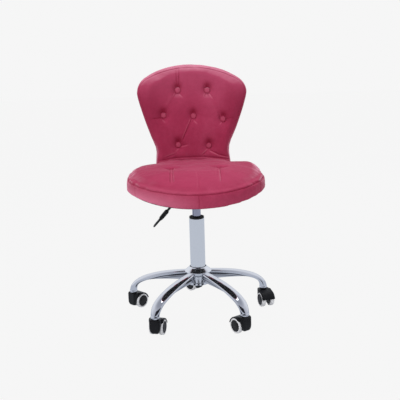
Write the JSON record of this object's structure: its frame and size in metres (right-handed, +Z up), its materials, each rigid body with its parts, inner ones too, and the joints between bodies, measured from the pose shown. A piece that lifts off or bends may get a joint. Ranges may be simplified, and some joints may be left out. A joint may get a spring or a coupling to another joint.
{
  "type": "styling chair",
  "caption": "Swivel styling chair: padded round seat and button-tufted fan back in velvet on a chrome gas-lift star base with hooded twin-wheel casters.",
  "frame": {"origin": "on the floor, on the axis of the column", "axes": "+Z up along the column, the sitter faces -Y, +X is at the sitter's left hand"},
  "size_m": [0.5133, 0.5409, 0.828],
  "materials": {
    "chrome": "polished",
    "steel": "satin",
    "black_plastic": "fine moulded grain",
    "tread": "satin",
    "black_steel": "powder coated",
    "velvet": "short pile velvet",
    "plywood": "sanded",
    "black_cloth": "nonwoven"
  },
  "bodies": {
    "base": {"base_hub": "chrome", "leg_1": "chrome", "leg_2": "chrome", "leg_3": "chrome", "leg_4": "chrome", "leg_5": "chrome", "caster_sockets": "black_plastic", "caster_stems": "steel", "column_tube": "chrome", "guide_bush": "black_plastic", "thrust_bearing": "steel"},
    "rod": {"piston_rod": "steel", "retaining_clip": "steel"},
    "seat": {"gas_cylinder": "chrome", "seat_plate": "black_steel", "taper_socket": "black_steel", "lever_pivot": "steel", "plate_screws": "steel", "seat_board": "plywood", "seat_cushion": "velvet", "seat_base_cover": "black_cloth", "back_board": "plywood", "back_pad": "velvet", "back_buttons": "velvet", "back_rear_cover": "velvet", "back_brackets": "black_steel", "bracket_screws": "steel"},
    "pin": {"release_pin": "steel"},
    "lever": {"height_lever": "black_steel", "lever_grip": "black_plastic"},
    "caster_1": {"caster_1_hood": "black_plastic", "caster_1_axle": "steel"},
    "caster_1_left_wheel": {"caster_1_left_core": "black_plastic", "caster_1_left_tread": "tread"},
    "caster_1_right_wheel": {"caster_1_right_core": "black_plastic", "caster_1_right_tread": "tread"},
    "caster_2": {"caster_2_hood": "black_plastic", "caster_2_axle": "steel"},
    "caster_2_left_wheel": {"caster_2_left_core": "black_plastic", "caster_2_left_tread": "tread"},
    "caster_2_right_wheel": {"caster_2_right_core": "black_plastic", "caster_2_right_tread": "tread"},
    "caster_3": {"caster_3_hood": "black_plastic", "caster_3_axle": "steel"},
    "caster_3_left_wheel": {"caster_3_left_core": "black_plastic", "caster_3_left_tread": "tread"},
    "caster_3_right_wheel": {"caster_3_right_core": "black_plastic", "caster_3_right_tread": "tread"},
    "caster_4": {"caster_4_hood": "black_plastic", "caster_4_axle": "steel"},
    "caster_4_left_wheel": {"caster_4_left_core": "black_plastic", "caster_4_left_tread": "tread"},
    "caster_4_right_wheel": {"caster_4_right_core": "black_plastic", "caster_4_right_tread": "tread"},
    "caster_5": {"caster_5_hood": "black_plastic", "caster_5_axle": "steel"},
    "caster_5_left_wheel": {"caster_5_left_core": "black_plastic", "caster_5_left_tread": "tread"},
    "caster_5_right_wheel": {"caster_5_right_core": "black_plastic", "caster_5_right_tread": "tread"}
  },
  "joints": [
    {"name": "seat_swivel", "type": "hinge", "parent": "base", "child": "rod", "pos_m": [0, 0, 0.2], "axis": [0, 0, 1], "continuous": true},
    {"name": "seat_height", "type": "slide", "parent": "rod", "child": "seat", "axis": [0, 0, 1], "range_m": [-0.045, 0.065]},
    {"name": "lever_lift", "type": "hinge", "parent": "seat", "child": "lever", "pos_m": [-0.026, 0, 0.4205], "axis": [0, 1, 0], "range_deg": [0, 5.9], "stiffness_Nm_per_rad": 3},
    {"name": "pin_press", "type": "slide", "parent": "seat", "child": "pin", "axis": [0, 0, 1], "range_m": [-0.0027, 0]},
    {"name": "caster_1_swivel", "type": "hinge", "parent": "base", "child": "caster_1", "pos_m": [0.13787, -0.194, 0.05], "axis": [0, 0, 1], "continuous": true},
    {"name": "caster_1_left_roll", "type": "hinge", "parent": "caster_1", "child": "caster_1_left_wheel", "pos_m": [0.12509, -0.17609, 0.025], "axis": [-0.8141, -0.5807, 0], "continuous": true},
    {"name": "caster_1_right_roll", "type": "hinge", "parent": "caster_1", "child": "caster_1_right_wheel", "pos_m": [0.12509, -0.17609, 0.025], "axis": [-0.8141, -0.5807, 0], "continuous": true},
    {"name": "caster_2_swivel", "type": "hinge", "parent": "base", "child": "caster_2", "pos_m": [0.22711, 0.07117, 0.05], "axis": [0, 0, 1], "continuous": true},
    {"name": "caster_2_left_roll", "type": "hinge", "parent": "caster_2", "child": "caster_2_left_wheel", "pos_m": [0.23354, 0.05013, 0.025], "axis": [0.9563, 0.2924, 0], "continuous": true},
    {"name": "caster_2_right_roll", "type": "hinge", "parent": "caster_2", "child": "caster_2_right_wheel", "pos_m": [0.23354, 0.05013, 0.025], "axis": [0.9563, 0.2924, 0], "continuous": true},
    {"name": "caster_3_swivel", "type": "hinge", "parent": "base", "child": "caster_3", "pos_m": [0.00249, 0.23799, 0.05], "axis": [0, 0, 1], "continuous": true},
    {"name": "caster_3_left_roll", "type": "hinge", "parent": "caster_3", "child": "caster_3_left_wheel", "pos_m": [-0.01386, 0.25271, 0.025], "axis": [-0.6691, -0.7431, 0], "continuous": true},
    {"name": "caster_3_right_roll", "type": "hinge", "parent": "caster_3", "child": "caster_3_right_wheel", "pos_m": [-0.01386, 0.25271, 0.025], "axis": [-0.6691, -0.7431, 0], "continuous": true},
    {"name": "caster_4_swivel", "type": "hinge", "parent": "base", "child": "caster_4", "pos_m": [-0.22557, 0.07591, 0.05], "axis": [0, 0, 1], "continuous": true},
    {"name": "caster_4_left_roll", "type": "hinge", "parent": "caster_4", "child": "caster_4_left_wheel", "pos_m": [-0.21015, 0.0916, 0.025], "axis": [-0.7133, 0.7009, 0], "continuous": true},
    {"name": "caster_4_right_roll", "type": "hinge", "parent": "caster_4", "child": "caster_4_right_wheel", "pos_m": [-0.21015, 0.0916, 0.025], "axis": [-0.7133, 0.7009, 0], "continuous": true},
    {"name": "caster_5_swivel", "type": "hinge", "parent": "base", "child": "caster_5", "pos_m": [-0.1419, -0.19107, 0.05], "axis": [0, 0, 1], "continuous": true},
    {"name": "caster_5_left_roll", "type": "hinge", "parent": "caster_5", "child": "caster_5_left_wheel", "pos_m": [-0.13547, -0.17003, 0.025], "axis": [-0.9563, 0.2924, 0], "continuous": true},
    {"name": "caster_5_right_roll", "type": "hinge", "parent": "caster_5", "child": "caster_5_right_wheel", "pos_m": [-0.13547, -0.17003, 0.025], "axis": [-0.9563, 0.2924, 0], "continuous": true}
  ],
  "couplings": [
    {"joint": "pin_press", "follows": "lever_lift", "m_per_rad": -0.026}
  ]
}
